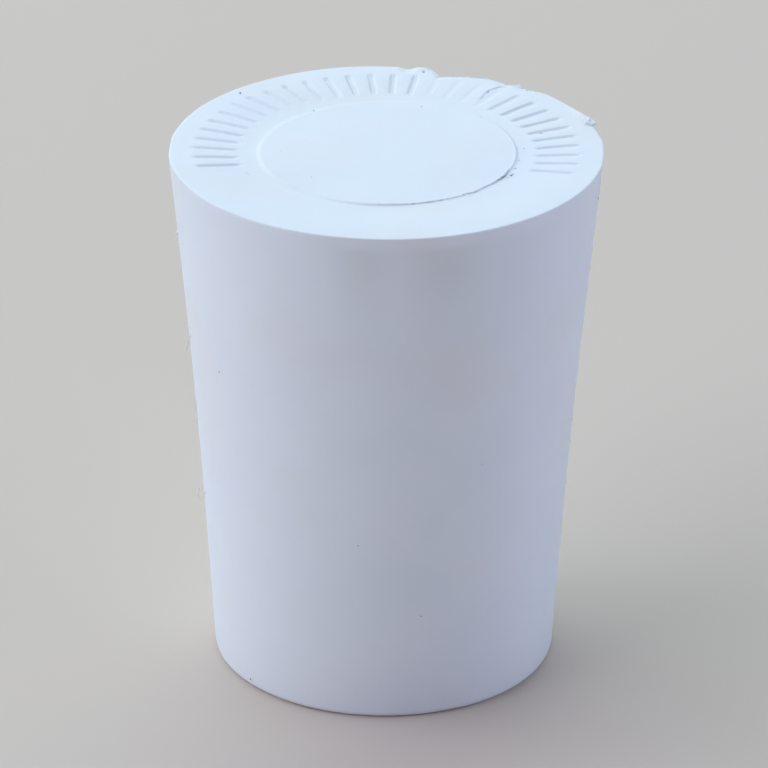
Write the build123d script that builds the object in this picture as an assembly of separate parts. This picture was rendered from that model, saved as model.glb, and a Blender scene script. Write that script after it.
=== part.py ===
from build123d import *
from math import cos, degrees, radians, sin, tan
import os

# A solid rubber stopper, moulded in one piece, for a flask or a jar with a small round neck.
# Millimetres, +Z up. The origin is the centre of the small end, which stands on the bench.
# Angles go round the axis from +X towards +Y. The front is at -Y, and the worn part of the rim
# is at the back right.

# The plug: a taper of the common small laboratory size, one inch high.
TOP_DIAMETER = 20.0
BASE_DIAMETER = 16.0
HEIGHT = 25.4
SIDE_HOLLOW = 0.14  # the cured side stands this far inside a straight taper at half height
BASE_EDGE_RADIUS = 0.35

# The top face: a flat land round the rim, a very shallow dish, and a round pad in its middle. The
# two halves of the mould meet at the rim, so that edge is left sharp.
RIM_LAND = 0.8
DISH_DEPTH = 0.15
PAD_DIAMETER = 12.1
PAD_RISE = 0.13
PAD_SHOULDER = 0.18  # width of the slope round the pad, in plan
PAD_FOOT_RADIUS = 0.15

# Moulded grooves: a row of plain radial bars round the back of the top face.
GROOVE_COUNT = 31
GROOVE_FIRST_ANGLE = -17.0
GROOVE_LAST_ANGLE = 193.0
GROOVE_INNER_RADIUS = 6.95
GROOVE_OUTER_RADIUS = 8.85
GROOVE_WIDTH = 0.30
GROOVE_DEPTH = 0.11
GROOVE_DRAFT = 25.0  # lean of the groove's walls, from upright
GROOVE_LIFT = 0.03  # how far the cutting shape stands clear of the curved dish

# The torn part of the rim: angle, and how far the rubber is gone inwards of the rim's circle.
# Where that is below zero the edge is only worn down.
TEAR_LINE = [
    (78.6, -0.30),
    (74.8, 0.64),
    (73.0, 0.52),
    (70.4, 0.40),
    (67.5, 0.22),
    (64.0, 0.10),
    (60.0, 0.03),
    (56.6, 0.14),
    (54.0, -0.25),
    (51.4, 0.08),
    (48.6, 0.03),
    (45.7, -0.15),
    (42.5, -0.50),
]
TEAR_SMEAR = 0.50  # width of the smeared surface inside the torn line
TEAR_DROP = 0.10  # the smeared surface falls this far towards the torn line
TEAR_WALL_DEPTH = 1.40
TEAR_WALL_ANGLE = 42.0  # from upright

# A small scallop in the rim, left of the tear, and the round tool that shapes it.
SCALLOP_ANGLE = 84.3
SCALLOP_WIDTH = 0.60
SCALLOP_DEPTH = 0.10

# A thorn of flash that has peeled up off the rim at the right. It grows out of the rim at its back
# end, and its point stands free at the front end.
THORN_ANGLE = 33.5  # its back end
THORN_LENGTH = 3.0
THORN_HEIGHT = 0.36
THORN_POINT = 0.12  # how blunt the point is
THORN_GAP = 0.55  # length of the free point, which the rim doesn't touch
THORN_THICKNESS = 0.18
THORN_ROOT_DEPTH = 0.12

# Flash from the gap round the mould's round insert: an open crease at the pad's foot, at the front
# right, with a low ragged fin on the pad's side of it.
FLASH_FIRST_ANGLE = -84.0
FLASH_LAST_ANGLE = -20.0
CREASE_WIDTH = 0.10
CREASE_DEPTH = 0.12
FIN_HEIGHT = 0.07
FIN_THICKNESS = 0.12

# A flat worn on the edge of the small end, at the front right.
NICK_ANGLE = -68.0
NICK_HALF_SPAN = 16.0  # degrees
NICK_HEIGHT = 0.17

CLEAR = 2.0  # how far a cutting shape reaches past the surface that it cuts

top_radius = TOP_DIAMETER / 2
base_radius = BASE_DIAMETER / 2
pad_foot = PAD_DIAMETER / 2
pad_edge = pad_foot - PAD_SHOULDER
land_edge = top_radius - RIM_LAND
dish_z = HEIGHT - DISH_DEPTH
pad_z = dish_z + PAD_RISE


def around(radius, angle, z):
    """The point at a radius and an angle in degrees round the axis, at height z."""
    return Vector(radius * cos(radians(angle)), radius * sin(radians(angle)), z)


def tapered_plug():
    """The whole moulding without its grooves and damage, turned from half of its section."""
    middle_radius = (top_radius + base_radius) / 2 - SIDE_HOLLOW
    outline = [
        Line((0, 0), (base_radius, 0)),
        ThreePointArc((base_radius, 0), (middle_radius, HEIGHT / 2), (top_radius, HEIGHT)),
        Line((top_radius, HEIGHT), (land_edge, HEIGHT)),
        Spline((land_edge, HEIGHT), (pad_foot, dish_z), tangents=[(-1, 0), (-1, 0)]),
        Line((pad_foot, dish_z), (pad_edge, pad_z)),
        Line((pad_edge, pad_z), (0, pad_z)),
        Line((0, pad_z), (0, 0)),
    ]
    section = make_face(outline)
    rounded = [((base_radius, 0), BASE_EDGE_RADIUS), ((pad_foot, dish_z), PAD_FOOT_RADIUS)]
    for corner, radius in rounded:
        section = fillet(section.vertices().sort_by_distance(corner)[0], radius)
    return revolve(Plane.XZ * section, Axis.Z)


def dish_height(radius):
    """Height of the dish at a radius between the pad and the land, on its S-shaped slope."""
    share = (land_edge - radius) / (land_edge - pad_foot)
    return HEIGHT - DISH_DEPTH * share * share * (3 - 2 * share)


def groove():
    """What one radial groove takes out, along +X: a straight bar with walls that lean inwards."""
    inner = Vector(GROOVE_INNER_RADIUS, 0, dish_height(GROOVE_INNER_RADIUS))
    outer = Vector(GROOVE_OUTER_RADIUS, 0, dish_height(GROOVE_OUTER_RADIUS))
    along = outer - inner
    down = Vector(0, 1, 0).cross(along).normalized()
    mouth = Plane(origin=(inner + outer) / 2 - down * GROOVE_LIFT, x_dir=along, z_dir=down)
    bar = Rectangle(along.length, GROOVE_WIDTH)
    return extrude(mouth * bar, GROOVE_DEPTH + GROOVE_LIFT, taper=GROOVE_DRAFT)


def groove_row():
    """The row of equal grooves round the back of the top face."""
    step = (GROOVE_LAST_ANGLE - GROOVE_FIRST_ANGLE) / (GROOVE_COUNT - 1)
    tool = groove()
    return [Rot(Z=GROOVE_FIRST_ANGLE + step * number) * tool for number in range(GROOVE_COUNT)]


def tear_section(move_in, z):
    """The torn area from above, at height z, with its ragged line moved inwards."""
    line = [around(top_radius - bite - move_in, angle, z) for angle, bite in TEAR_LINE]
    far = top_radius - move_in + CLEAR
    corners = [around(far, TEAR_LINE[-1][0], z), around(far, TEAR_LINE[0][0], z)]
    return make_face(Polyline(*line, *corners, close=True))


def torn_rim():
    """What is gone from the rim: a smeared slope down to the torn line, then a leaning wall."""
    wall_run = TEAR_WALL_DEPTH * tan(radians(TEAR_WALL_ANGLE))
    sections = [
        tear_section(2 * TEAR_SMEAR, HEIGHT + TEAR_DROP),
        tear_section(0, HEIGHT - TEAR_DROP),
        tear_section(-wall_run, HEIGHT - TEAR_DROP - TEAR_WALL_DEPTH),
    ]
    return loft(sections, ruled=True)


def scallop():
    """A round tool laid across the rim, which leaves a shallow scallop in its edge."""
    half = SCALLOP_WIDTH / 2
    radius = (half * half + SCALLOP_DEPTH * SCALLOP_DEPTH) / (2 * SCALLOP_DEPTH)
    start = around(top_radius - RIM_LAND, SCALLOP_ANGLE, HEIGHT + radius)
    outwards = around(1, SCALLOP_ANGLE, 0)
    return Plane(origin=start, z_dir=outwards) * Cylinder(
        radius, RIM_LAND + CLEAR, align=(Align.CENTER, Align.CENTER, Align.MIN)
    )


def flash_thorn():
    """The peeled sliver: a thin curved wall on the rim, cut to the side view of a hooked thorn."""
    half_turn = degrees(THORN_LENGTH / top_radius) / 2
    middle_angle = THORN_ANGLE - half_turn
    joined = THORN_LENGTH - THORN_GAP
    side_view = make_face(
        Polyline(
            (0, -THORN_ROOT_DEPTH),
            (0, 0),
            (0.55 * THORN_LENGTH, 0.22 * THORN_HEIGHT),
            (0.78 * THORN_LENGTH, 0.72 * THORN_HEIGHT),
            (0.94 * THORN_LENGTH, THORN_HEIGHT),
            (THORN_LENGTH, THORN_HEIGHT - THORN_POINT),
            (joined, 0),
            (joined, -THORN_ROOT_DEPTH),
            close=True,
        )
    )
    forwards = around(1, middle_angle - 90, 0)
    outwards = around(1, middle_angle, 0)
    back_end = around(top_radius, middle_angle, HEIGHT) - forwards * (THORN_LENGTH / 2)
    cutter = extrude(Plane(origin=back_end, x_dir=forwards, z_dir=-outwards) * side_view, CLEAR, both=True)
    wall = Pos(Z=HEIGHT - THORN_ROOT_DEPTH) * (
        Cylinder(top_radius, THORN_ROOT_DEPTH + THORN_HEIGHT, align=(Align.CENTER, Align.CENTER, Align.MIN))
        - Cylinder(top_radius - THORN_THICKNESS, HEIGHT)
    )
    return wall & cutter


def flash_ring(*corners):
    """A small section turned round the axis along the stretch where the pad's edge has flash."""
    section = make_face(Polyline(*corners, close=True))
    arc = FLASH_LAST_ANGLE - FLASH_FIRST_ANGLE
    return Rot(Z=FLASH_FIRST_ANGLE) * revolve(Plane.XZ * section, Axis.Z, revolution_arc=arc)


def pad_fin():
    """The low fin of flash on the pad's edge."""
    inner = pad_edge - FIN_THICKNESS / 2
    outer = pad_edge + FIN_THICKNESS / 2
    return flash_ring((inner, dish_z), (inner, pad_z), (pad_edge, pad_z + FIN_HEIGHT), (outer, dish_z))


def pad_crease():
    """The sharp open crease at the pad's foot."""
    inner = pad_foot - CREASE_WIDTH
    return flash_ring((inner, pad_z), (pad_foot, pad_z), (inner, dish_z - CREASE_DEPTH))


def base_nick():
    """The block that wears a flat on the small end's edge: its underside leans up outwards."""
    chord = base_radius * cos(radians(NICK_HALF_SPAN))
    outwards = around(1, NICK_ANGLE, 0)
    rise = around(base_radius, NICK_ANGLE, NICK_HEIGHT) - around(chord, NICK_ANGLE, 0)
    across = outwards.cross(Vector(0, 0, 1))
    plane = Plane(origin=around(chord, NICK_ANGLE, 0), x_dir=across, z_dir=across.cross(rise))
    block = Box(TOP_DIAMETER, TOP_DIAMETER, CLEAR, align=(Align.CENTER, Align.CENTER, Align.MAX))
    return plane * block


stopper = tapered_plug()
stopper = stopper - groove_row()
stopper = stopper + pad_fin()
stopper = stopper - [pad_crease(), torn_rim(), scallop(), base_nick()]
stopper = stopper + flash_thorn()
stopper.label = "stopper"
stopper.color = Color(0.86, 0.89, 0.93)

os.makedirs("parts", exist_ok=True)
export_step(stopper, "parts/stopper.step")
print("solids", len(stopper.solids()), "volume", round(stopper.volume, 1), "valid", stopper.is_valid)
print("box", stopper.bounding_box())
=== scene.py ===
# %% [markdown]
# # A white rubber stopper
#
# The real object is one moulding of white rubber, an inch high: a plug that tapers from 20 to
# 16 mm, with a very shallow dish in its large end and a round pad in the middle of the dish. A row
# of short grooves runs round the back of the dish. Nothing is joined on. What makes this one
# look used is its damage: a piece torn from the rim, flash that has peeled, a few pits, some dust.
#
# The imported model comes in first, as the fixed frame. It holds the real sizes and the place of the
# object, so every size below is read from it or stands beside it, and nothing is fitted by eye.

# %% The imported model
import random
from math import atan2, cos, degrees, exp, hypot, pi, radians, sin, tan

import bmesh
import bpy
from mathutils import Matrix, Vector, noise
from mathutils.bvhtree import BVHTree


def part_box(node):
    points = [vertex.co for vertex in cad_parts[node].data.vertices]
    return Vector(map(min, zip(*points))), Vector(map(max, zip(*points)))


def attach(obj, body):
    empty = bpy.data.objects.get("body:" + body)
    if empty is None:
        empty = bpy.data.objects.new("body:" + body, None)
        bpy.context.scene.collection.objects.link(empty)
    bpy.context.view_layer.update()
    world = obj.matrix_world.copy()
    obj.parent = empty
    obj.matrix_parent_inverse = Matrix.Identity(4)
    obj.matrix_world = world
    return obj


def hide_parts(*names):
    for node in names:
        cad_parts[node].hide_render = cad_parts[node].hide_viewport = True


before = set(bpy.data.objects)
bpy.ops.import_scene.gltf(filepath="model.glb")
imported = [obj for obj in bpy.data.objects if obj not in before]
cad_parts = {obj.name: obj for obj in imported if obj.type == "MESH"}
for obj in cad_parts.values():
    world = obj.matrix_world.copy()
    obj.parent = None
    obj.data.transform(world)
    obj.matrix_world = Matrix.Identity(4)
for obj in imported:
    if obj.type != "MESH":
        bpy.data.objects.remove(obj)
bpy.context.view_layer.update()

# %% [markdown]
# Blender works in metres and this object is 25 millimetres high. Lengths of a few thousandths are
# hard to read, so each mesh is drawn in millimetres, as on a workshop drawing, and is scaled once
# when it is finished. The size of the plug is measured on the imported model. The flash that stands
# up on the rim is the only thing above the plug, so it is taken off to get the plug's own height.

# %% Sizes in millimetres
MM = 0.001
low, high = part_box("stopper")
THORN_HEIGHT = 0.36
RIM_RADIUS = (high.x - low.x) / 2 / MM
HEIGHT = (high.z - low.z) / MM - THORN_HEIGHT
BASE_RADIUS = 0.8 * RIM_RADIUS
SIDE_HOLLOW = 0.14
BASE_EDGE = 0.35
RIM_EDGE = 0.05
LAND_RADIUS = RIM_RADIUS - 0.8
PAD_RADIUS = 6.05
DISH_Z = HEIGHT - 0.15
print("plug", round(2 * RIM_RADIUS, 2), "x", round(HEIGHT, 2), "mm")

# %% [markdown]
# The camera stands 30 cm away and looks down at 26 degrees through a very long lens, so the taper
# of the plug shows and its sides hardly converge. A camera looks along its own -Z, with +Y up, so
# its matrix is built from three directions: right, up and backwards. The small roll is the
# photographer's, who didn't hold the camera quite level.

# %% The camera
CAMERA_DISTANCE = 300.6
CAMERA_ELEVATION = radians(25.66)
CAMERA_ROLL = radians(0.314)
LENS = 300.75
SENSOR = 36.0
AIM_RIGHT = -0.061
AIM_UP = 0.669

right = Vector((1, 0, 0))
up = Vector((0, sin(CAMERA_ELEVATION), cos(CAMERA_ELEVATION)))
back = Vector((0, -cos(CAMERA_ELEVATION), sin(CAMERA_ELEVATION)))
place = Vector((0, 0, HEIGHT / 2)) + right * AIM_RIGHT + up * AIM_UP + back * CAMERA_DISTANCE
level = Matrix((right, up, back)).transposed().to_4x4()

camera = bpy.data.objects.new("camera", bpy.data.cameras.new("camera"))
bpy.context.scene.collection.objects.link(camera)
camera.data.lens = LENS
camera.data.sensor_width = SENSOR
camera.matrix_world = Matrix.Translation(place * MM) @ level @ Matrix.Rotation(CAMERA_ROLL, 4, "Z")
bpy.context.scene.camera = camera
bpy.context.scene.view_settings.view_transform = "Standard"
print("camera at", [round(value, 4) for value in camera.matrix_world.translation])

# %% [markdown]
# Three small helpers serve every piece. The first turns a bmesh in millimetres into an object in
# metres, with its place in its mesh, so that the object itself stays at the origin. The second
# eases from 0 to 1 between two limits, and the third is a smooth hump made of the second. Moulded
# rubber has no hard steps, so they are used everywhere.

# %% Helpers for every piece
def finished(name, mesh, material=None):
    """Scales a bmesh from millimetres to metres and makes it a smooth-shaded object."""
    bmesh.ops.scale(mesh, vec=(MM, MM, MM), verts=mesh.verts)
    for face in mesh.faces:
        face.smooth = True
    data = bpy.data.meshes.new(name)
    mesh.to_mesh(data)
    mesh.free()
    piece = bpy.data.objects.new(name, data)
    bpy.context.scene.collection.objects.link(piece)
    if material:
        data.materials.append(material)
    triangles = sum(len(face.vertices) - 2 for face in data.polygons)
    print(name, len(data.vertices), "vertices", triangles, "triangles")
    return piece


def ease(start, end, value):
    """0 before start, 1 after end, and a smooth S between them. start may be the larger one."""
    share = min(max((value - start) / (end - start), 0.0), 1.0)
    return share * share * (3 - 2 * share)


def hump(distance, half_width):
    """1 at the middle, falling smoothly to 0 at half_width on both sides."""
    return 1 - ease(0, half_width, abs(distance))


# %% [markdown]
# ## Finishes
#
# A finish is a small network of nodes. Its sums are written here as sums: a Signal wraps the output
# of a node, and adding or multiplying signals adds Math nodes to the same network. Every other node
# comes from the one method called add, which takes the node's type, its settings, and what goes
# into its sockets. Settings come first, because some of them change which sockets a node has.

# %% Writing shader maths as sums
class Signal:
    """The output of a shader node. Sums and products of signals add Math nodes."""

    def __init__(self, socket):
        self.socket = socket

    def add(self, kind, settings=None, inputs=None, output=0):
        """Adds a node: its settings first, then a value or a signal for each named input."""
        tree = self.socket.id_data
        node = tree.nodes.new(kind)
        for name, value in (settings or {}).items():
            setattr(node, name, value)
        for name, value in (inputs or {}).items():
            if isinstance(value, Signal):
                tree.links.new(value.socket, node.inputs[name])
            else:
                node.inputs[name].default_value = value
        return Signal(node.outputs[output])

    def math(self, operation, first, second):
        """Adds a Math node."""
        return self.add("ShaderNodeMath", {"operation": operation}, {0: first, 1: second})

    def __add__(self, other):
        return self.math("ADD", self, other)

    def __radd__(self, other):
        return self.math("ADD", other, self)

    def __mul__(self, other):
        return self.math("MULTIPLY", self, other)

    def __rmul__(self, other):
        return self.math("MULTIPLY", other, self)

    def between(self, low, high):
        """This signal eased from 0 at low to 1 at high."""
        limits = {"Value": self, "From Min": low, "From Max": high}
        return self.add("ShaderNodeMapRange", {"interpolation_type": "SMOOTHSTEP"}, limits)

    def blend(self, first, second):
        """A colour that goes from first to second as this signal goes from 0 to 1."""
        return self.add("ShaderNodeMix", {"data_type": "RGBA"}, {0: self, 6: first, 7: second}, output=2)


def start_finish(name, **constants):
    """A new material: its shader with the values that never vary, and its place in millimetres."""
    material = bpy.data.materials.new(name)
    material.use_nodes = True
    shader = material.node_tree.nodes["Principled BSDF"]
    for socket, value in constants.items():
        shader.inputs[socket.replace("_", " ")].default_value = value
    coordinates = Signal(material.node_tree.nodes.new("ShaderNodeTexCoord").outputs["Object"])
    scale = (1 / MM, 1 / MM, 1 / MM)
    place = coordinates.add("ShaderNodeMapping", None, {"Vector": coordinates, "Scale": scale})
    return material, shader, place


def feed(shader, **signals):
    """Links signals to the shader's inputs."""
    for socket, signal in signals.items():
        shader.id_data.links.new(signal.socket, shader.inputs[socket.replace("_", " ")])


def cloud(place, size, detail=2.0, roughness=0.5):
    """Soft noise between 0 and 1 whose spots are about size millimetres across."""
    values = {"Vector": place, "Scale": 1 / size, "Detail": detail, "Roughness": roughness}
    return place.add("ShaderNodeTexNoise", None, values)


# %% [markdown]
# White rubber isn't pure white. Its filler is a cool grey white that is never quite evenly mixed,
# so the colour drifts a little in clouds some millimetres across. The surface is a copy of the
# mould: a fine grain that makes it satin, and a shallow orange peel that only shows in the way
# the light breaks up. Some light enters the rubber and softens small shadows, which is the
# subsurface part. Two attributes of the mesh darken it: one is painted shade in the crease, the
# pits and round the small end, and the other, smudge, says where it is smudged grey.

# %% White rubber
WHITE = (0.775, 0.815, 0.875, 1)
COOL_WHITE = (0.758, 0.805, 0.872, 1)
WARM_WHITE = (0.775, 0.785, 0.825, 1)
# the colour of the painted shade in the crease, the pits and round the small end
PAINTED_SHADE_COLOUR = (0.30, 0.31, 0.34, 1)
SMUDGE_COLOUR = (0.50, 0.50, 0.48, 1)
DRIFT_SIZE, WARM_SIZE, SPECKLE_SIZE = 4.5, 6.0, 0.35
WARM_SHIFT = (31, 7, 3)  # moves the warm clouds away from the cool ones
SATIN_ROUGHNESS = 0.47
GRAIN_SIZE, GRAIN_HEIGHT = 0.11, 0.006
PEEL_SIZE, PEEL_HEIGHT = 0.7, 0.010
LIGHT_REACH = 0.4  # how far light spreads inside the rubber


def make_white_rubber():
    """The one finish of the stopper itself."""
    material, shader, place = start_finish(
        "white_rubber",
        Subsurface_Weight=0.12,
        Subsurface_Scale=LIGHT_REACH * MM,
        IOR=1.5,
        Sheen_Weight=0.06,
    )
    shader.inputs["Subsurface Radius"].default_value = (1.0, 0.85, 0.75)
    drift = cloud(place, DRIFT_SIZE, 3.0)
    speckle = cloud(place, SPECKLE_SIZE, 3.0, 0.6)
    elsewhere = place.add("ShaderNodeMapping", None, {"Vector": place, "Location": WARM_SHIFT})
    warm = cloud(elsewhere, WARM_SIZE)
    colour = drift.between(0.35, 0.65).blend(WHITE, COOL_WHITE)
    colour = warm.between(0.5, 0.75).blend(colour, WARM_WHITE)
    smudge = place.add("ShaderNodeAttribute", {"attribute_name": "smudge"}, output=2) * (0.4 + 1.2 * drift)
    colour = smudge.blend(colour, SMUDGE_COLOUR)
    # Painted shade: the crease, the pits and the small end are darkened in the colour, broken up by the
    # speckle, and they are a little rougher there.
    painted_shade = place.add("ShaderNodeAttribute", {"attribute_name": "painted_shade"}, output=2)
    shaded = painted_shade * (0.6 + 0.8 * speckle)
    colour = shaded.between(0.0, 1.0).blend(colour, PAINTED_SHADE_COLOUR)
    rough = SATIN_ROUGHNESS + 0.10 * drift + 0.08 * speckle + 0.2 * shaded
    grain = cloud(place, GRAIN_SIZE, 2.0) * GRAIN_HEIGHT
    peel = cloud(place, PEEL_SIZE, 2.0) * PEEL_HEIGHT
    height = (grain + peel) * MM
    bump = place.add("ShaderNodeBump", None, {"Height": height, "Strength": 1.0, "Distance": 1.0})
    feed(shader, Base_Color=colour, Roughness=rough, Normal=bump)
    return material


white_rubber = make_white_rubber()
print("white_rubber has", len(white_rubber.node_tree.nodes), "nodes")

# %% [markdown]
# ## The body
#
# A moulding of revolution is easiest to make as the mould maker turns it: half of its section is
# drawn once, as a wire of eight points, and turned round the axis. Bevelling a point of the wire
# rounds that corner all the way round. The wire is then divided, finely where the top face has
# relief, most of all on both sides of the pad's edge, and coarsely down the plain side.

# %% Half of the section, as a wire
TORN_SIDE = 1.6  # the stretch of the side below the rim that the tear may reach
FINE_OUTSIDE, FINE_INSIDE = 0.30, 0.55  # the band of fine rings at the pad's edge

section = bmesh.new()
below_rim = HEIGHT - TORN_SIDE
side_slope = (RIM_RADIUS - BASE_RADIUS) / HEIGHT
corners = [
    (0, 0),
    (BASE_RADIUS, 0),
    (BASE_RADIUS + side_slope * below_rim, below_rim),
    (RIM_RADIUS, HEIGHT),
    (LAND_RADIUS, HEIGHT),
    (PAD_RADIUS + FINE_OUTSIDE, DISH_Z),
    (PAD_RADIUS - FINE_INSIDE, DISH_Z),
    (0, DISH_Z),
]
points = [section.verts.new((radius, 0, z)) for radius, z in corners]
cuts = [2, 6, 8, 5, 22, 18, 8]  # between each point and the next
wires = [section.edges.new(pair) for pair in zip(points, points[1:])]
for wire, count in zip(wires, cuts):
    bmesh.ops.subdivide_edges(section, edges=[wire], cuts=count)
for corner, width, steps in ((corners[1], BASE_EDGE, 4), (corners[3], RIM_EDGE, 2)):
    target = Vector((corner[0], 0, corner[1]))
    point = min(section.verts, key=lambda vertex: (vertex.co - target).length)
    bmesh.ops.bevel(
        section, geom=[point], affect="VERTICES", offset=width, segments=steps, profile=0.5, material=-1
    )
print("section", len(section.verts), "points")

# %% [markdown]
# Spinning a thousand steps in one go is slow, because every step adds to a mesh that is already
# large. So the wire is spun through three degrees first, which makes one thin slice, and the slice
# is then spun as copies round the whole circle. Merging the doubles closes the seams between the
# slices and the two poles on the axis. The slice is handed on as its points, edges and faces, so
# that the copies come in the same order in each run.

# %% Turned into a closed body
SLICE_STEPS = 9
SLICES = 120

body = section
slice_angle = 2 * pi / SLICES
around = {"cent": (0, 0, 0), "axis": (0, 0, 1), "dvec": (0, 0, 0)}
bmesh.ops.spin(body, geom=body.verts[:] + body.edges[:], angle=slice_angle, steps=SLICE_STEPS, **around)
one_slice = body.verts[:] + body.edges[:] + body.faces[:]
the_rest = slice_angle * (SLICES - 1)
bmesh.ops.spin(body, geom=one_slice, angle=the_rest, steps=SLICES - 1, use_duplicate=True, **around)
bmesh.ops.remove_doubles(body, verts=body.verts, dist=0.001)
bmesh.ops.recalc_face_normals(body, faces=body.faces)
print("body", len(body.verts), "points, open edges", sum(not edge.is_manifold for edge in body.edges))

# %% [markdown]
# The torn part of the rim needs finer faces than the rest. The edges there are divided once more,
# and a grid fill keeps them square. Everywhere else the faces stay as they are, because the whole
# piece should stay under 200,000 triangles. The area's limits lie between two rings of points, so
# that rounding never decides whether a point is inside them.

# %% Finer faces where the rim is torn
TORN_FROM, TORN_TO = 40.9, 86.9
TORN_INSIDE, TORN_BELOW = 0.25, 0.95  # how far the fine faces reach past the land and down the side


def angle_of(point):
    """The angle round the axis in degrees, from +X towards +Y."""
    return degrees(atan2(point.y, point.x))


def is_torn_area(point):
    """True near the torn stretch of the rim, on the land and just below it."""
    near_rim = hypot(point.x, point.y) > LAND_RADIUS - TORN_INSIDE and point.z > HEIGHT - TORN_BELOW
    return near_rim and TORN_FROM < angle_of(point) < TORN_TO


fine = [edge for edge in body.edges if all(is_torn_area(point.co) for point in edge.verts)]
bmesh.ops.subdivide_edges(body, edges=fine, cuts=1, use_grid_fill=True)
print("body", len(body.verts), "points after", len(fine), "edges were divided")

# %% [markdown]
# ## The relief of the top face
#
# Now the points of the mesh are moved, as a sculptor would, but by formulas. Each formula is one
# thing that can be seen on the real face. They all take a place on the face and give a height, so
# they can be added up. The dish comes first: an S-shaped slope from the land down to the pad's foot.

# %% The dish and the slow waves in it
WAVE_HEIGHT = 0.022
BROAD_WAVES, SMALL_WAVES = 0.28, 0.8  # how many there are in a millimetre
STILL_RADIUS = 3.0  # the waves fade out towards the axis, where the mesh runs to one point


def dish(radius):
    """Height of the face without its pad, at a radius."""
    slope = ease(LAND_RADIUS, PAD_RADIUS, radius)
    return HEIGHT - (HEIGHT - DISH_Z) * slope


def waves(x, y):
    """Rubber shrinks unevenly as it cools, which leaves slow waves in a flat face."""
    broad = noise.noise(Vector((x * BROAD_WAVES, y * BROAD_WAVES, 3.1)))
    small = noise.noise(Vector((x * SMALL_WAVES, y * SMALL_WAVES, 7.7)))
    return WAVE_HEIGHT * (broad + 0.35 * small)


print("the dish is", round(HEIGHT - dish(0), 3), "mm deep")

# %% [markdown]
# The pad was formed by a separate round insert in the mould. It isn't quite square in its hole, so
# the step at the pad's edge changes on the way round: crisp at the front, a wide soft slope at the
# left, almost nothing at the back left, and a thin raised lip at the right. Each row below is an
# angle, how high the pad's edge stands there, how wide its slope is, and how high the lip is.
# Towards the middle the pad comes back to one height.

# %% The pad and its edge
PAD_EDGE = [
    (-180, 0.09, 0.26, 0.00),
    (-170, 0.12, 0.24, 0.00),
    (-155, 0.13, 0.22, 0.01),
    (-141, 0.09, 0.24, 0.00),
    (-126, 0.05, 0.34, 0.00),
    (-112, 0.06, 0.16, 0.00),
    (-102, 0.08, 0.08, 0.00),
    (-88, 0.08, 0.08, 0.01),
    (-78, 0.045, 0.08, 0.00),
    (-40, 0.04, 0.08, 0.01),
    (-20, 0.06, 0.10, 0.02),
    (5, 0.07, 0.12, 0.02),
    (40, 0.07, 0.13, 0.02),
    (62, 0.06, 0.16, 0.01),
    (90, 0.05, 0.28, 0.00),
    (130, 0.04, 0.40, 0.00),
    (165, 0.05, 0.36, 0.00),
    (180, 0.09, 0.26, 0.00),
]
PAD_RISE, PAD_MIDDLE = 0.08, 1.0  # its height in the middle, and how far the middle reaches
LIP_HALF_WIDTH = 0.09


def along_table(table, angle):
    """The values of a table's rows at an angle, blended smoothly between the two nearest rows."""
    for first, second in zip(table, table[1:]):
        if angle <= second[0]:
            share = ease(first[0], second[0], angle)
            return [a + (b - a) * share for a, b in zip(first[1:], second[1:])]
    return list(table[-1][1:])


def pad(radius, angle):
    """Height of the pad above the dish."""
    rise, width, lip = along_table(PAD_EDGE, angle)
    edge = PAD_RADIUS - width
    rise = PAD_RISE + (rise - PAD_RISE) * ease(PAD_MIDDLE, edge, radius)
    return rise * ease(PAD_RADIUS, edge, radius) + lip * hump(radius - edge, LIP_HALF_WIDTH)


print("the pad stands", pad(0, -90), "mm above the dish at the front")

# %% [markdown]
# The grooves are plain bars that point at the axis, a little narrower at the bottom than at the
# mouth so that the moulding leaves its mould. The rubber between two grooves is slightly crowned.
# Near the torn rim they have been rubbed almost flat.

# %% The row of grooves
GROOVES = 31
FIRST_GROOVE, LAST_GROOVE = -17.0, 193.0
GROOVE_FROM, GROOVE_TO = 6.95, 8.85
GROOVE_MOUTH, GROOVE_FLOOR = 0.34, 0.19
GROOVE_DEPTH = 0.085
GROOVE_END = 0.09
CROWN = 0.02
BAR_END = 0.3  # how far the crowned bars reach past both ends of the grooves
ROW_END = 0.7  # how far they reach past the first and the last groove, in pitches
RUBBED_AWAY = 0.78
groove_pitch = (LAST_GROOVE - FIRST_GROOVE) / (GROOVES - 1)


def rubbed(angle):
    """How much of the moulded relief is left: 1 where it is whole, less near the torn rim."""
    return 1 - RUBBED_AWAY * ease(82, 74, angle) * ease(42, 54, angle)


def groove_row(radius, angle):
    """Height of the row of grooves: below 0 in a groove, and above it on the crowned bars."""
    if not GROOVE_FROM - BAR_END < radius < GROOVE_TO + BAR_END:
        return 0.0
    turned = (angle - FIRST_GROOVE + groove_pitch) % 360 - groove_pitch
    nearest = min(max(round(turned / groove_pitch), 0), GROOVES - 1)
    off = radians(turned - nearest * groove_pitch)
    across = abs(radius * sin(off))
    length = ease(GROOVE_FROM - GROOVE_END / 2, GROOVE_FROM + GROOVE_END / 2, radius)
    length *= ease(GROOVE_TO + GROOVE_END / 2, GROOVE_TO - GROOVE_END / 2, radius)
    cut = ease(GROOVE_MOUTH / 2, GROOVE_FLOOR / 2, across)
    bar = 1 - hump(across, radius * radians(groove_pitch) / 2)
    last = LAST_GROOVE - FIRST_GROOVE
    fade = ROW_END * groove_pitch
    in_row = ease(-fade, 0, turned) * ease(last + fade, last, turned)
    swell = CROWN * bar * in_row
    swell *= ease(GROOVE_FROM - BAR_END, GROOVE_FROM, radius) * ease(GROOVE_TO + BAR_END, GROOVE_TO, radius)
    depth = GROOVE_DEPTH * (0.9 + 0.2 * noise.noise(Vector((nearest * 3.7, 0.5, 0.5))))
    return rubbed(angle) * (swell - depth * cut * length)


print("grooves every", groove_pitch, "degrees")

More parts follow.
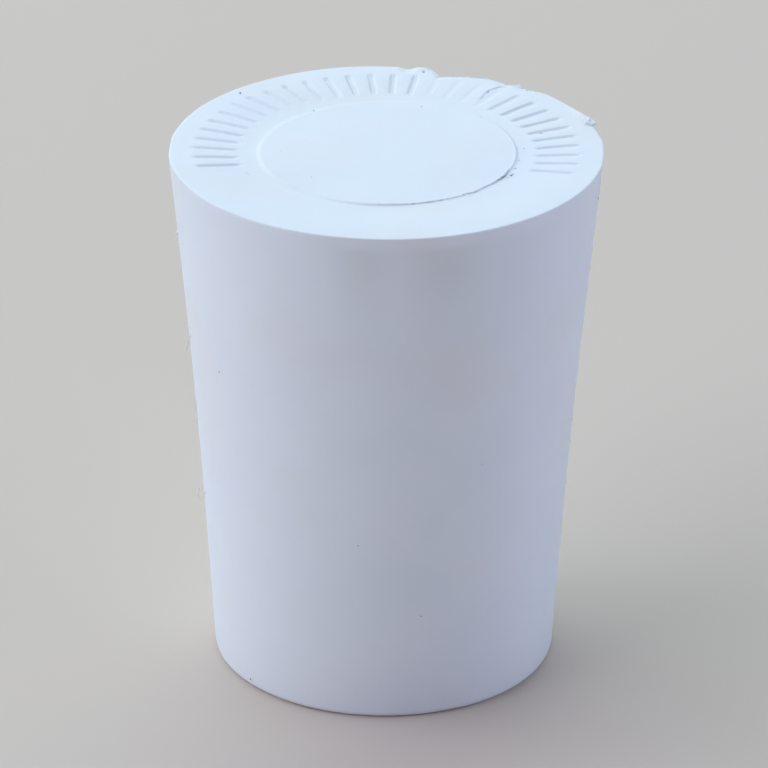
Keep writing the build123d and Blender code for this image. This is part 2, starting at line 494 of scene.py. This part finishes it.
# %% [markdown]
# Where the insert of the mould met its hole, at the front right, rubber was pressed into the gap.
# It came out as a thin ragged fin, and tore away again along most of its length, which left an open
# crease at the pad's foot. Noise along the arc decides where the fin stands and where it is gone.

# %% The torn flash on the pad's edge
FLASH_FROM, FLASH_TO = -84.0, -19.0
CREASE_HALF_WIDTH = 0.045
CREASE_DEPTH = 0.13
FIN_HALF_WIDTH = 0.06
FIN_HEIGHT = 0.02
CREASE_INSET, FIN_INSET = 0.06, 0.17  # how far inside the pad's foot each one runs


def ragged(angle, detail, seed):
    """Noise between -1 and 1 along an arc. detail is the number of bumps in a degree."""
    return noise.noise(Vector((angle * detail, seed, seed * 0.37)))


def pad_wander(angle):
    """How far the crease strays from its circle."""
    return 0.05 * ragged(angle, 0.22, 2.2) + 0.02 * ragged(angle, 0.9, 6.8)


def flash(radius, angle):
    """Height of the fin and the crease on the pad's edge."""
    if abs(radius - PAD_RADIUS) > FINE_INSIDE:
        return 0.0
    present = ease(FLASH_FROM - 3, FLASH_FROM + 3, angle) * ease(FLASH_TO + 2, FLASH_TO - 3, angle)
    wander = pad_wander(angle)
    crease = hump(radius - (PAD_RADIUS - CREASE_INSET + wander), CREASE_HALF_WIDTH)
    open_here = (0.75 + 0.5 * ragged(angle, 0.5, 8.4)) * (0.3 + 0.7 * ease(-46, -32, angle))
    fin = hump(radius - (PAD_RADIUS - FIN_INSET + wander), FIN_HALF_WIDTH)
    stands = max(0.0, 0.25 + 1.1 * ragged(angle, 0.9, 5.3))
    return present * (FIN_HEIGHT * stands * fin - CREASE_DEPTH * open_here * crease)


print("flash from", FLASH_FROM, "to", FLASH_TO, "degrees")

# %% [markdown]
# A few marks belong to this one stopper: four soft dents, a small scallop and a smeared lump beside
# the tear, a pit in that lump, and a tongue of rubber that was torn up and rubbed back down, so
# that it ends in a thin step. The tongue's end is a line of three points. A row of the dents and the
# pits holds a place in x and y, how far the mark reaches from there, and how deep it is.

# %% Single marks on the top face
DENTS = [
    (2.6, -4.6, 1.0, 0.035), (5.15, -5.1, 0.9, 0.03), (-3.6, -7.4, 1.6, 0.02), (6.9, 3.6, 0.8, 0.02),
]
PITS = [(1.75, 9.24, 0.10, 0.16), (4.75, 6.96, 0.08, 0.08), (4.36, 4.24, 0.10, 0.06)]
SCALLOP_ANGLE, SCALLOP_HALF_WIDTH, SCALLOP_DEPTH = 84.3, 0.52, 0.10
SCALLOP_INSIDE = 0.3  # how far the scallop runs in past the land
WORN_HALF_WIDTH, WORN_DEPTH = 3.5, 0.06
LUMP = (1.60, 9.55)
LUMP_HEIGHT, LUMP_RADIUS = 0.075, 0.55
TONGUE = [Vector((4.40, 6.15)), Vector((4.78, 6.98)), Vector((5.70, 7.80))]
TONGUE_STEP, TONGUE_CREVICE = 0.025, 0.05
TONGUE_REACH = 0.9
TONGUE_SLOPE, CREVICE_HALF_WIDTH = 0.05, 0.06


def tongue(x, y):
    """The tongue: a step along its end that dies away behind it, with a crevice at its foot."""
    here = Vector((x, y))
    nearest = None
    for start, end in zip(TONGUE, TONGUE[1:]):
        along = end - start
        offset = here - start
        share = offset.dot(along) / along.length_squared
        held = min(max(share, 0.0), 1.0)
        gap = (offset - along * held).length
        behind = along.y * offset.x - along.x * offset.y
        if nearest is None or gap < nearest[0]:
            nearest = (gap, behind < 0, -0.05 < share < 1.05)
    gap, is_behind, is_beside = nearest
    if not is_beside or gap > TONGUE_REACH:
        return 0.0
    step = TONGUE_STEP * ease(0, TONGUE_SLOPE, gap) * ease(TONGUE_REACH, 0.1, gap) if is_behind else 0.0
    return step - TONGUE_CREVICE * hump(gap, CREVICE_HALF_WIDTH)


def scallop(x, y):
    """How deep the rim is worn at a place: the scallop, in a longer stretch that is slightly low."""
    across = x * sin(radians(SCALLOP_ANGLE)) - y * cos(radians(SCALLOP_ANGLE))
    if y < 0:
        return 0.0
    depth = SCALLOP_DEPTH * hump(across, SCALLOP_HALF_WIDTH) + WORN_DEPTH * hump(across, WORN_HALF_WIDTH)
    return depth * ease(LAND_RADIUS - SCALLOP_INSIDE, RIM_RADIUS - 0.1, hypot(x, y))


def marks(x, y):
    """The height of all the single marks at a place on the top face."""
    height = tongue(x, y) - scallop(x, y)
    for mark_x, mark_y, reach, depth in DENTS + PITS:
        height -= depth * hump(hypot(x - mark_x, y - mark_y), reach)
    height += LUMP_HEIGHT * hump(hypot(x - LUMP[0], y - LUMP[1]), LUMP_RADIUS)
    return height


print(len(DENTS), "dents and", len(PITS), "pits")

# %% [markdown]
# At the right a sliver of the rim has peeled up. It rises slowly from its root at the back and ends
# in a point that flares out over the rim. The part that is still held by the rim is made here, as a
# lip on the land, and the free point is shaped further down, as a small closed form of its own.

# %% The lip that peels off the rim
THORN_ROOT, THORN_END = 34.0, 18.2
THORN_WIDTH = 0.34
LIP_SHARE = 0.72  # how much of the thorn's height is lip
LIP_CURVE = 1.7  # the lip rises slowly at first


def peeled_lip(radius, angle):
    """Height of the peeling sliver above the land."""
    if not THORN_END - 1 < angle < THORN_ROOT:
        return 0.0
    climb = ((THORN_ROOT - angle) / (THORN_ROOT - THORN_END)) ** LIP_CURVE
    climb *= ease(THORN_END - 0.5, THORN_END + 0.4, angle)
    return LIP_SHARE * THORN_HEIGHT * climb * ease(RIM_RADIUS - THORN_WIDTH, RIM_RADIUS - 0.04, radius)


print("the lip is", round(radians(THORN_ROOT - THORN_END) * RIM_RADIUS, 2), "mm long")

# %% [markdown]
# ## The tear
#
# The tear follows a ragged line: each row is an angle and how much of the rim is gone there,
# measured inwards from the rim's circle. Inside that line the surface was smeared and slopes down
# to it. Outside, a rough scar leans out until it meets the side. So the points near the rim are
# drawn inwards to the line, and those of the side are moved on to the scar.

# %% The torn line and its scar
TEAR_LINE = [
    (78.6, -0.30),
    (74.4, 0.76),
    (73.0, 0.66),
    (70.4, 0.50),
    (67.5, 0.30),
    (64.0, 0.18),
    (60.0, 0.03),
    (56.6, 0.12),
    (55.0, 0.24),
    (53.8, 0.05),
    (51.4, 0.06),
    (48.6, 0.03),
    (45.7, -0.15),
    (42.5, -0.50),
]
SMEAR_WIDTH = 0.50
SMEAR_DROP = 0.14
SCAR_LEAN = tan(radians(42))
SCAR_ROUGHNESS = 0.09
SMEAR_ROUGHNESS = 0.025
SMEAR_BLEND = 0.03  # how softly the slope meets the face
SMEAR_START = RIM_RADIUS - 2.4 * SMEAR_WIDTH
COARSE_FRAY, FINE_FRAY = 0.045, 0.03
FRAY_DEPTH = 0.35  # the fraying dies away this far down the scar


def torn_radius(angle, frayed=1.0):
    """Radius of the torn line at an angle, more or less frayed, or None where the rim is whole."""
    for (angle_a, bite_a), (angle_b, bite_b) in zip(TEAR_LINE, TEAR_LINE[1:]):
        if angle_b <= angle <= angle_a:
            share = (angle_a - angle) / (angle_a - angle_b)
            bite = bite_a + (bite_b - bite_a) * share
            fray = COARSE_FRAY * ragged(angle, 1.3, 4.4) + FINE_FRAY * ragged(angle, 3.1, 9.2)
            return RIM_RADIUS - bite + frayed * fray * ease(-0.1, 0.1, bite)
    return None


def smeared(radius, line, height):
    """The height near the torn line: no higher than the smeared slope that falls to it."""
    slope = HEIGHT + SMEAR_DROP - (radius - line + 2 * SMEAR_WIDTH) * SMEAR_DROP / SMEAR_WIDTH
    lower, upper = sorted((slope, height))
    return lower - SMEAR_BLEND * exp(-(upper - lower) / SMEAR_BLEND) * 0.5


print("the deepest bite is", max(bite for angle, bite in TEAR_LINE), "mm")

# %% [markdown]
# Now every point is moved once. The top face gets the sum of its heights, and is drawn inwards
# beside the tear. The side gets its slight hollow, which cured rubber takes as it shrinks, very slow
# waves, and the scar. The small end gets the flat that is worn on its edge at the front right. The
# rim isn't quite round either: it has small corners, each given as an angle and how far it stands out.

# %% Moving the points of the body
NICK_ANGLE, NICK_HALF_SPAN, NICK_HEIGHT = -68.0, 16.0, 0.17
SIDE_WAVE = 0.03
CORNER_HALF_SPAN, CORNER_DEPTH = 6.0, 6.0  # degrees round the rim, millimetres down the side
RIM_CORNERS = [(5.8, 0.05), (-9.0, 0.02), (171.0, 0.03), (-174.0, 0.035), (150.0, 0.02)]


def side_radius(z):
    """Radius of the plain side at height z: a straight taper, slightly hollow."""
    share = z / HEIGHT
    return BASE_RADIUS + (RIM_RADIUS - BASE_RADIUS) * share - SIDE_HOLLOW * 4 * share * (1 - share)


def top_height(radius, angle):
    """The height of the whole top face at a place on it."""
    x, y = radius * cos(radians(angle)), radius * sin(radians(angle))
    height = dish(radius)
    height += waves(x, y) * ease(RIM_RADIUS + 0.2, LAND_RADIUS, radius) * ease(0, STILL_RADIUS, radius)
    height += pad(radius, angle) + groove_row(radius, angle) + flash(radius, angle)
    return height + marks(x, y) + peeled_lip(radius, angle)


def rim_swell(angle):
    """How far the rim stands out of its circle where it has small corners."""
    return sum(out * hump(angle - corner, CORNER_HALF_SPAN) for corner, out in RIM_CORNERS)


def move_top(point):
    """Lifts a point of the top face on to its relief, and draws it inwards beside the tear."""
    radius, angle = hypot(point.x, point.y), angle_of(point)
    edge_drop = HEIGHT - point.z if radius > LAND_RADIUS else 0.0
    line = torn_radius(angle)
    if line is not None and radius > SMEAR_START:
        end = min(line, RIM_RADIUS)
        radius = SMEAR_START + (end - SMEAR_START) * (radius - SMEAR_START) / (RIM_RADIUS - SMEAR_START)
    height = top_height(radius, angle) - edge_drop
    if line is not None and radius > SMEAR_START:
        height = smeared(radius, line, height)
        rough = noise.fractal(Vector((point.x * 2.5, point.y * 2.5, 1.3)), 1.0, 2.0, 3)
        height += SMEAR_ROUGHNESS * rough * ease(SMEAR_START, line, radius)
    radius += rim_swell(angle) * ease(LAND_RADIUS, RIM_RADIUS, radius)
    point.x, point.y, point.z = radius * cos(radians(angle)), radius * sin(radians(angle)), height


def move_side(point):
    """Sets a point of the side on the hollow taper, or on the scar below the torn line."""
    angle, z = angle_of(point), point.z
    radius = hypot(point.x, point.y) + side_radius(z) - BASE_RADIUS - side_slope * z
    radius += rim_swell(angle) * ease(HEIGHT - CORNER_DEPTH, HEIGHT, z)
    radius += SIDE_WAVE * noise.noise(Vector((point.x * 0.2, point.y * 0.2, z * 0.12)))
    line = torn_radius(angle)
    depth = HEIGHT - z
    if line is not None and depth < TORN_SIDE:
        rim_depth = SMEAR_DROP * ease(-0.5, 0, RIM_RADIUS - line)
        depth = rim_depth + (TORN_SIDE - rim_depth) * depth / TORN_SIDE
        below = depth - rim_depth
        scar = torn_radius(angle, ease(FRAY_DEPTH, 0, below)) + below * SCAR_LEAN
        if scar < radius:
            rough = noise.fractal(Vector((point.x * 1.3, point.y * 1.3, depth * 2)), 1.0, 2.0, 3)
            scar += SCAR_ROUGHNESS * rough * ease(0, 0.15, radius - scar)
            radius = min(scar, radius)
        z = HEIGHT - depth
    z -= scallop(point.x, point.y) * ease(HEIGHT - 0.5, HEIGHT - RIM_EDGE, z)
    point.x, point.y, point.z = radius * cos(radians(angle)), radius * sin(radians(angle)), z


def wear_base(point):
    """Lifts the points of the small end's edge on to the worn flat."""
    chord = BASE_RADIUS * cos(radians(NICK_HALF_SPAN))
    reach = point.x * cos(radians(NICK_ANGLE)) + point.y * sin(radians(NICK_ANGLE))
    flat = NICK_HEIGHT * (reach - chord) / (BASE_RADIUS - chord)
    point.z = max(point.z, min(flat, 1.5 * NICK_HEIGHT))


for vertex in body.verts:
    on_top = vertex.co.z > DISH_Z - 0.01 and hypot(vertex.co.x, vertex.co.y) < LAND_RADIUS + 0.01
    if on_top or vertex.co.z > HEIGHT - RIM_EDGE * 0.6:
        move_top(vertex.co)
    elif vertex.co.z > BASE_EDGE * 0.05:
        move_side(vertex.co)
    wear_base(vertex.co)
heights = [vertex.co.z for vertex in body.verts]
print("body from", round(min(heights), 3), "to", round(max(heights), 3), "mm")


# %% [markdown]
# ## Torn flash and crumbs
#
# Torn rubber ends in a thin ragged fringe. A fringe is a short upright edge that is spun along an
# arc, which makes a low fence. Its top is then cut ragged with noise and leaned over, and solidify
# gives it a thickness. The same few lines make the fringes of the torn rim and the flash on the
# pad's edge. They are the same rubber as the body, so they are added to its mesh.

# %% A ragged fringe along an arc
FRINGE_STEP = 0.2  # degrees
FRINGE_ROOT = 0.05  # how far a fringe reaches down into the body
FRINGE_ENDS = 2  # degrees over which it rises at both ends
FRINGE_THICKNESS = 0.025


def fringe(first, last, height, line, lean, seed, level=0.3):
    """A ragged fence from one angle to another, at the radius that line gives. level is how whole it is."""
    fence = bmesh.new()
    foot, top = fence.verts.new((RIM_RADIUS, 0, 0)), fence.verts.new((RIM_RADIUS, 0, 1))
    fence.edges.new((foot, top))
    turn = Matrix.Rotation(radians(first), 3, "Z")
    bmesh.ops.rotate(fence, cent=(0, 0, 0), matrix=turn, verts=fence.verts)
    steps = round((last - first) / FRINGE_STEP)
    bmesh.ops.spin(fence, geom=fence.edges[:], angle=radians(last - first), steps=steps, **around)
    bmesh.ops.remove_doubles(fence, verts=fence.verts, dist=0.001)
    for vertex in fence.verts:
        angle = angle_of(vertex.co)
        radius = line(angle)
        share = ease(first, first + FRINGE_ENDS, angle) * ease(last, last - FRINGE_ENDS, angle)
        rag = max(0.0, level + ragged(angle, 1.1, seed) + 0.5 * ragged(angle, 2.7, seed + 3)) * share
        z = top_of_body(radius, angle)
        if vertex.co.z > 0.5:
            radius += lean * rag
            z += height * rag
        else:
            z -= FRINGE_ROOT
        vertex.co = Vector((radius * cos(radians(angle)), radius * sin(radians(angle)), z))
    bmesh.ops.recalc_face_normals(fence, faces=fence.faces)
    bmesh.ops.solidify(fence, geom=fence.faces[:], thickness=FRINGE_THICKNESS)
    return fence


surface = BVHTree.FromBMesh(body)


def top_of_body(radius, angle):
    """The height of the finished top face at a place on it."""
    above = Vector((radius * cos(radians(angle)), radius * sin(radians(angle)), HEIGHT + 5))
    hit = surface.ray_cast(above, Vector((0, 0, -1)))[0]
    return hit.z if hit else HEIGHT


def join(part):
    """Adds a finished part of the same rubber to the body's mesh."""
    data = bpy.data.meshes.new("part")
    part.to_mesh(data)
    part.free()
    body.from_mesh(data)
    bpy.data.meshes.remove(data)


def torn_edge(angle):
    """Where the fringe of the torn rim stands: just inside the torn line."""
    return min(torn_radius(angle) or RIM_RADIUS, RIM_RADIUS) - 0.06


def pad_fringe(angle):
    """Where the fringe of the pad's edge stands."""
    return PAD_RADIUS - 0.13 + pad_wander(angle)


join(fringe(49.2, 54.2, 0.10, torn_edge, 0.05, 1.7, level=1.0))
join(fringe(44.5, 49.4, 0.05, torn_edge, 0.04, 1.7))
join(fringe(58.5, 75.2, 0.05, torn_edge, 0.03, 12.9))
join(fringe(FLASH_FROM, FLASH_TO + 2, 0.05, pad_fringe, 0.06, 21.3, level=0.1))
print("body with its fringes", len(body.verts), "points")

# %% [markdown]
# The free point of the peeled sliver is a small square face, spun through a few degrees so that it
# grows out of the end of the lip, and then shaped: each section further along flares out over the
# rim and hooks down, and the last ones close to a blunt tip, as peeled flash does.

# %% The point of the peeled sliver
POINT_ROOT, POINT_END = 24.0, 16.6
POINT_THICKNESS, POINT_DEPTH = 0.26, 0.30
POINT_STEPS = 14
POINT_FLARE = 0.15  # how far the point stands out over the rim
POINT_INSET = 0.02  # its outer face starts this far inside the rim's circle
POINT_ROUNDING = 0.02
POINT_SINK, POINT_HOOK, POINT_TIP = 0.14, 0.11, 0.09  # its root's depth, its fall, and its tip's rise


def thorn_point():
    """The sliver's free point, at the front end of the lip."""
    point = bmesh.new()
    face = bmesh.ops.create_grid(point, x_segments=1, y_segments=1, size=0.5)["verts"]
    bmesh.ops.rotate(point, cent=(0, 0, 0), matrix=Matrix.Rotation(pi / 2, 3, "X"), verts=face)
    bmesh.ops.scale(point, vec=(POINT_THICKNESS, 1, POINT_DEPTH), verts=face)
    bmesh.ops.translate(point, vec=(RIM_RADIUS - POINT_THICKNESS / 2 - POINT_INSET, 0, 0), verts=face)
    bmesh.ops.rotate(point, cent=(0, 0, 0), matrix=Matrix.Rotation(radians(POINT_ROOT), 3, "Z"), verts=face)
    turn = radians(POINT_END - POINT_ROOT)
    bmesh.ops.spin(point, geom=point.faces[:], angle=turn, steps=POINT_STEPS, **around)
    outer = RIM_RADIUS - POINT_INSET
    for vertex in point.verts:
        radius, angle = hypot(vertex.co.x, vertex.co.y), angle_of(vertex.co)
        share = (POINT_ROOT - angle) / (POINT_ROOT - POINT_END)
        flare = POINT_FLARE * ease(0, 0.85, share)
        slim = 1 - 0.7 * ease(0.75, 1.0, share)
        middle = HEIGHT + peeled_lip(outer, max(angle, THORN_END + 0.6)) * ease(-0.4, 0.5, share)
        middle -= POINT_SINK + POINT_HOOK * ease(0.3, 0.75, share) - POINT_TIP * ease(0.75, 1.0, share)
        vertex.co.z = middle + vertex.co.z * slim
        radius = outer + flare - (outer - radius) * (1 + flare / POINT_THICKNESS) * slim
        vertex.co.x, vertex.co.y = radius * cos(radians(angle)), radius * sin(radians(angle))
    bmesh.ops.recalc_face_normals(point, faces=point.faces)
    edges = [edge for edge in point.edges if edge.calc_face_angle(0) > radians(40)]
    bmesh.ops.bevel(
        point,
        geom=edges,
        affect="EDGES",
        offset=POINT_ROUNDING,
        segments=2,
        profile=0.5,
        material=-1,
        clamp_overlap=True,
    )
    return point


join(thorn_point())

# %% [markdown]
# Crumbs of the same rubber cling to the torn rim, to the crease and to both sides. A crumb is a
# small icosphere, pushed about by noise until it is no longer round, flattened, turned any way, and
# half sunk in the surface that carries it. Their places are listed, to match this stopper:
# x and y on the top face, an angle and a height on the side, and then the crumb's radius.

# %% Crumbs
CRUMBS_ON_TOP = [
    (3.54, 8.78, 0.05), (6.60, 7.10, 0.06), (5.88, -1.71, 0.06), (6.07, -0.79, 0.04), (5.74, -2.40, 0.08),
    (5.55, -2.75, 0.05), (4.05, -4.35, 0.05),
]
CRUMBS_ON_SIDE = [
    (184.5, 21.50, 0.09), (184.4, 21.28, 0.08), (184.4, 21.01, 0.04), (187.1, 17.70, 0.07),
    (191.1, 17.2, 0.05), (349.6, 23.80, 0.08), (348.2, 12.55, 0.05), (356.0, 10.82, 0.06),
    (356.1, 8.66, 0.06), (352.0, 20.1, 0.04),
]
CRUMB_ROUGHNESS = 0.9
CRUMB_RISE = 0.15  # how far its middle stands off the surface, as a share of its radius
chance = random.Random(5)


def on_top(x, y):
    """The place and the outward direction of the top face at x and y."""
    return surface.ray_cast(Vector((x, y, HEIGHT + 5)), Vector((0, 0, -1)))[:2]


def on_side(angle, z):
    """The place and the outward direction of the side at an angle and a height."""
    outwards = Vector((cos(radians(angle)), sin(radians(angle)), 0))
    start = outwards * 2 * RIM_RADIUS + Vector((0, 0, z))
    return surface.ray_cast(start, -outwards)[:2]


def crumb(where, normal, size, flatness=0.6):
    """A small irregular lump, half sunk in the surface."""
    lump = bmesh.new()
    bmesh.ops.create_icosphere(lump, subdivisions=2, radius=size)
    seed = Vector((chance.uniform(0, 50), chance.uniform(0, 50), 0))
    for vertex in lump.verts:
        vertex.co *= 1 + CRUMB_ROUGHNESS * noise.noise(vertex.co * 1.4 / size + seed)
    bmesh.ops.scale(lump, vec=(1, chance.uniform(0.5, 0.9), flatness), verts=lump.verts)
    turn = normal.to_track_quat("Z", "Y").to_matrix() @ Matrix.Rotation(chance.uniform(0, 2 * pi), 3, "Z")
    bmesh.ops.rotate(lump, cent=(0, 0, 0), matrix=turn, verts=lump.verts)
    bmesh.ops.translate(lump, vec=where + normal * size * CRUMB_RISE, verts=lump.verts)
    return lump


for x, y, size in CRUMBS_ON_TOP:
    join(crumb(*on_top(x, y), size))
for angle, z, size in CRUMBS_ON_SIDE:
    join(crumb(*on_side(angle, z), size))
print(len(CRUMBS_ON_TOP + CRUMBS_ON_SIDE), "crumbs, body now", len(body.verts), "points")

# %% [markdown]
# Shade and smudges are stored on the points too, as two numbers that go from 0 to 1. The first is
# painted shade: it darkens the crease and the pits, where shade falls, and a trace round the small
# end, where the contact shade falls. Smudges are the faint grey that fingers leave. They lie
# on the front of the side, most of all under the rim, where the stopper is held.

# %% Painted shade, and where smudges lie
# how dark the painted shade is round the small end and in the pits
BASE_SHADE, PIT_SHADE = 0.12, 0.9
BROAD_SMUDGE, FINGER_SMUDGE = 0.10, 0.22
FINGER_MARKS = [(-96, 12), (-75, 16)]  # the middle of each and its half width, in degrees


def painted_shade_at(point):
    """How much painted shade a point of the body gets, from 0 to 1."""
    radius, angle = hypot(point.x, point.y), angle_of(point)
    # painted contact shade: the small end is darker towards the floor
    if point.z < HEIGHT - 0.6:
        return BASE_SHADE * ease(1.0, 0.1, point.z)
    # painted shade in the crease at the pad's foot, heavier in two stretches
    in_crease = hump(radius - (PAD_RADIUS - CREASE_INSET + pad_wander(angle)), CREASE_HALF_WIDTH)
    along = ease(FLASH_FROM - 22, FLASH_FROM, angle) * ease(FLASH_TO + 2, FLASH_TO - 4, angle)
    heavy = 0.35 * hump(angle + 90, 16) + 0.6 * hump(angle + 27, 12)
    along *= 0.3 + heavy + 0.3 * ragged(angle, 0.25, 4.1)
    painted_shade = in_crease * along
    # painted shade in the pits
    for x, y, reach, depth in PITS:
        painted_shade = max(painted_shade, PIT_SHADE * hump(hypot(point.x - x, point.y - y), reach))
    return min(painted_shade, 1.0)


def smudge_at(point):
    """How strongly a point of the side is smudged, from 0 to 1."""
    angle, depth = angle_of(point), HEIGHT - point.z
    smudge = BROAD_SMUDGE * hump(angle + 68, 40)
    for middle, reach in FINGER_MARKS:
        smudge += FINGER_SMUDGE * hump(angle - middle, reach) * ease(5.5, 1.5, depth)
    return smudge * ease(0.35, 0.9, depth)


painted_shade_layer = body.verts.layers.float.new("painted_shade")
smudge_layer = body.verts.layers.float.new("smudge")
for vertex in body.verts:
    vertex[painted_shade_layer] = painted_shade_at(vertex.co)
    vertex[smudge_layer] = smudge_at(vertex.co)
print("dirty points", sum(vertex[painted_shade_layer] > 0.3 for vertex in body.verts))

stopper_body = finished("stopper_body", body, white_rubber)
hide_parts("stopper")
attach(stopper_body, "root")

# %% [markdown]
# ## Dust
#
# Rubber holds dust. The dark specks are grains of grit, made as the crumbs are but in their own
# finish: each one is flat, so that it lies in the surface and hardly stands out of it.

# %% Specks of grit
SPECKS_ON_TOP = [
    (-6.88, 6.52, 0.065), (-3.40, 4.81, 0.04), (-3.40, -3.03, 0.03), (1.62, 5.24, 0.035),
    (4.75, 6.96, 0.055), (7.19, 2.31, 0.05), (7.10, 2.34, 0.035), (6.33, 0.55, 0.03),
    (1.75, 9.24, 0.06), (-4.88, -0.13, 0.02), (-6.45, -2.42, 0.025), (-6.36, -2.52, 0.025),
    (-6.27, -2.63, 0.025), (5.70, -2.55, 0.05), (4.40, 4.18, 0.035),
]
SPECKS_ON_SIDE = [
    (213.8, 16.47, 0.035), (281.8, 5.47, 0.03), (219.0, 0.45, 0.05), (262.0, 9.3, 0.025),
    (300.0, 13.1, 0.02),
]
GRAIN_FLATNESS = 0.35

grit, grit_shader, grit_place = start_finish("grit", Roughness=0.8, Specular_IOR_Level=0.2)
grit_tone = cloud(grit_place, 0.05).blend((0.05, 0.045, 0.04, 1), (0.20, 0.16, 0.12, 1))
feed(grit_shader, Base_Color=grit_tone)
grains = bmesh.new()
specks_on_top = [(on_top(x, y), size) for x, y, size in SPECKS_ON_TOP]
specks_on_side = [(on_side(angle, z), size) for angle, z, size in SPECKS_ON_SIDE]
for where, size in specks_on_top + specks_on_side:
    grain = crumb(*where, size, flatness=GRAIN_FLATNESS)
    data = bpy.data.meshes.new("grain")
    grain.to_mesh(data)
    grain.free()
    grains.from_mesh(data)
    bpy.data.meshes.remove(data)
specks = finished("grit_specks", grains, grit)
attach(specks, "root")

# %% [markdown]
# Three fibres of lint cling to the left side. Each is a curve that a few points draw after them,
# given as an angle, a height and how far it stands off the side. A curve with a round bevel has a
# thickness, and it is turned into a mesh, as every other piece is.

# %% Fibres of lint
FIBRE_RADIUS = 0.016
FIBRES = [
    [
        (191.0, 16.75, 0.0), (188.0, 16.35, 0.03), (184.6, 15.95, 0.07),
        (184.2, 15.70, 0.15), (184.2, 15.50, 0.20),
    ],
    [
        (186.6, 12.95, 0.0), (186.0, 12.70, 0.06), (186.3, 12.40, 0.07), (188.5, 12.15, 0.02),
    ],
    [
        (191.0, 8.58, 0.0), (188.5, 8.25, 0.03), (186.2, 7.98, 0.08),
        (184.0, 7.74, 0.20), (183.9, 7.80, 0.33), (184.0, 8.32, 0.18),
    ],
]
lint, lint_shader, lint_place = start_finish("lint", Roughness=0.7, Sheen_Weight=0.3)
lint_tone = cloud(lint_place, 0.3).blend((0.68, 0.52, 0.38, 1), (0.88, 0.82, 0.74, 1))
feed(lint_shader, Base_Color=lint_tone)


def fibre_line(route):
    """A NURBS curve that starts on the side and follows a fibre's route."""
    curve = bpy.data.curves.new("fibre", "CURVE")
    curve.dimensions = "3D"
    curve.bevel_depth = FIBRE_RADIUS
    curve.bevel_resolution = 2
    curve.use_fill_caps = True
    line = curve.splines.new("NURBS")
    line.points.add(len(route) - 1)
    for point, (angle, z, off) in zip(line.points, route):
        where, normal = on_side(angle, z)
        point.co = (*(where + normal * off), 1)
    line.order_u = 3
    line.use_endpoint_u = True
    return curve


fibres = bmesh.new()
for route in FIBRES:
    holder = bpy.data.objects.new("fibre", fibre_line(route))
    data = bpy.data.meshes.new_from_object(holder)
    fibres.from_mesh(data)
    bpy.data.objects.remove(holder)
    bpy.data.meshes.remove(data)
bmesh.ops.recalc_face_normals(fibres, faces=fibres.faces)
lint_fibres = finished("lint_fibres", fibres, lint)
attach(lint_fibres, "root")

# %% [markdown]
# ## The studio
#
# A plain pale floor takes the soft shadow of the stopper and throws some light back on its side.
# It isn't part of the object. A slightly warm grey lets the cool white
# of the rubber read as white.

# %% The floor
FLOOR_SIZE = 3000
FLOOR_COLOUR = (0.65, 0.565, 0.50, 1)

floor_paint, floor_shader = start_finish("floor_paint", Roughness=0.9, Specular_IOR_Level=0.1)[:2]
floor_shader.inputs["Base Color"].default_value = FLOOR_COLOUR
floor_mesh = bmesh.new()
bmesh.ops.create_grid(floor_mesh, x_segments=1, y_segments=1, size=FLOOR_SIZE)
floor = finished("floor", floor_mesh, floor_paint)

# %% [markdown]
# Four soft lamps light it. They stand half a metre away and are wider than that, so that shadows
# have no edges. The first stands at the left, like a window. The strongest stands behind and lights
# the top face at a slant, which is what draws the grooves and the pad's edge: every wall that faces
# the camera turns its back to that lamp. A cooler one fills the right side, and a faint one the
# front. Together they light the rubber at a level at which its colour comes out about as
# it is written, and its brightest places don't clip. The world gives no light. It only shows a pale
# backdrop to the camera, which is seen where a low view looks past the edge of the floor.

# %% The lamps
LAMP_DISTANCE = 500
LAMPS = [
    ("left_window", -75, 30, 600, 2.50, (0.80, 0.86, 1.0)),
    ("right_fill", 80, 15, 600, 2.05, (0.69, 0.78, 1.0)),
    ("back_light", -165, 45, 800, 3.38, (0.79, 0.96, 1.0)),
    ("front_fill", 10, 20, 600, 0.285, (0.86, 0.71, 1.0)),
]
NO_LIGHT = (0, 0, 0, 1)
BACKDROP = (0.55, 0.55, 0.55, 1)


def add_lamp(name, azimuth, elevation, size, power, colour):
    """A square lamp that faces the middle of the stopper. Azimuth 0 stands at the camera's side."""
    data = bpy.data.lights.new(name, "AREA")
    data.energy, data.color, data.size = power, colour, size * MM
    light = bpy.data.objects.new(name, data)
    bpy.context.scene.collection.objects.link(light)
    turn, lift = radians(azimuth), radians(elevation)
    away = Vector((sin(turn) * cos(lift), -cos(turn) * cos(lift), sin(lift)))
    middle = Vector((0, 0, HEIGHT / 2))
    facing = away.to_track_quat("Z", "Y").to_matrix().to_4x4()
    light.matrix_world = Matrix.Translation((middle + away * LAMP_DISTANCE) * MM) @ facing


for row in LAMPS:
    add_lamp(*row)
world = bpy.data.worlds.new("world")
world.use_nodes = True
background = world.node_tree.nodes["Background"]
seen_directly = Signal(world.node_tree.nodes.new("ShaderNodeLightPath").outputs["Is Camera Ray"])
feed(background, Color=seen_directly.blend(NO_LIGHT, BACKDROP))
bpy.context.scene.world = world
print(len(LAMPS), "lamps")
